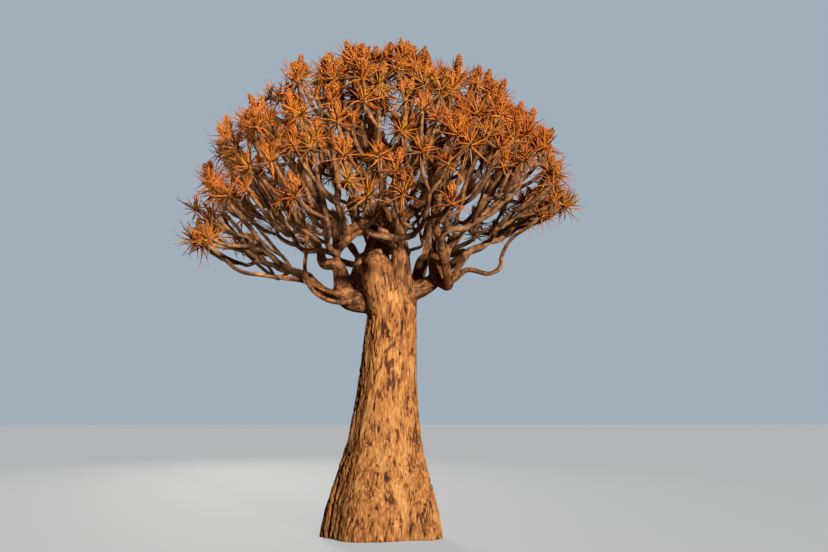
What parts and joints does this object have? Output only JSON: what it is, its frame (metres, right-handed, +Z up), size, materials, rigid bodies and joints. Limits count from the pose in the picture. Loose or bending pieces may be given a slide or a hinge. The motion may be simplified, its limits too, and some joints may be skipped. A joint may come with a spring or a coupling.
{
  "type": "kokerboom tree",
  "caption": "Kokerboom (quiver tree) with a thick tapering trunk, flared foot, forking boughs and a domed crown of leaf rosettes with flower heads.",
  "frame": {"origin": "middle of the flat cut under the trunk, at ground level", "axes": "+Z up; the picture looks along +Y, and +X is to its right"},
  "size_m": [5.1279, 5.1077, 6.0248],
  "materials": {
    "trunk_bark": "rough peeling golden-brown bark",
    "limb_bark": "smooth grey-brown bark",
    "foliage": "satin leaves in amber and rust, dull brown-orange flower heads"
  },
  "bodies": {
    "root": {"trunk": "trunk_bark", "bough_left_middle_a": "limb_bark", "bough_left_middle_b": "limb_bark", "bough_left_high": "limb_bark", "bough_left_low_a": "limb_bark", "bough_left_low_b": "limb_bark", "bough_front_middle_a": "limb_bark", "bough_front_middle_b": "limb_bark", "bough_front_high": "limb_bark", "bough_front_low_a": "limb_bark", "bough_front_low_b": "limb_bark", "bough_right_middle_a": "limb_bark", "bough_right_middle_b": "limb_bark", "bough_right_high": "limb_bark", "bough_right_low_a": "limb_bark", "bough_right_low_b": "limb_bark", "bough_rear_right_middle_a": "limb_bark", "bough_rear_right_middle_b": "limb_bark", "bough_rear_right_high": "limb_bark", "bough_rear_right_low": "limb_bark", "bough_rear_left_middle_a": "limb_bark", "bough_rear_left_middle_b": "limb_bark", "bough_rear_left_high": "limb_bark", "bough_rear_left_low": "limb_bark", "bough_top_a": "limb_bark", "bough_top_b": "limb_bark", "bough_top_c": "limb_bark", "bough_front_sprig": "limb_bark", "bough_left_sprig": "limb_bark", "bough_right_sprig": "limb_bark", "foliage_front_sprig": "foliage", "foliage_left_sprig": "foliage", "foliage_right_sprig": "foliage", "foliage_left_middle_a": "foliage", "foliage_left_middle_b": "foliage", "foliage_left_high": "foliage", "foliage_left_low_a": "foliage", "foliage_left_low_b": "foliage", "foliage_front_middle_a": "foliage", "foliage_front_middle_b": "foliage", "foliage_front_high": "foliage", "foliage_front_low_a": "foliage", "foliage_front_low_b": "foliage", "foliage_right_middle_a": "foliage", "foliage_right_middle_b": "foliage", "foliage_right_high": "foliage", "foliage_right_low_a": "foliage", "foliage_right_low_b": "foliage", "foliage_rear_right_middle_a": "foliage", "foliage_rear_right_middle_b": "foliage", "foliage_rear_right_high": "foliage", "foliage_rear_right_low": "foliage", "foliage_rear_left_middle_a": "foliage", "foliage_rear_left_middle_b": "foliage", "foliage_rear_left_high": "foliage", "foliage_rear_left_low": "foliage", "foliage_top_a": "foliage", "foliage_top_b": "foliage", "foliage_top_c": "foliage"}
  },
  "joints": []
}
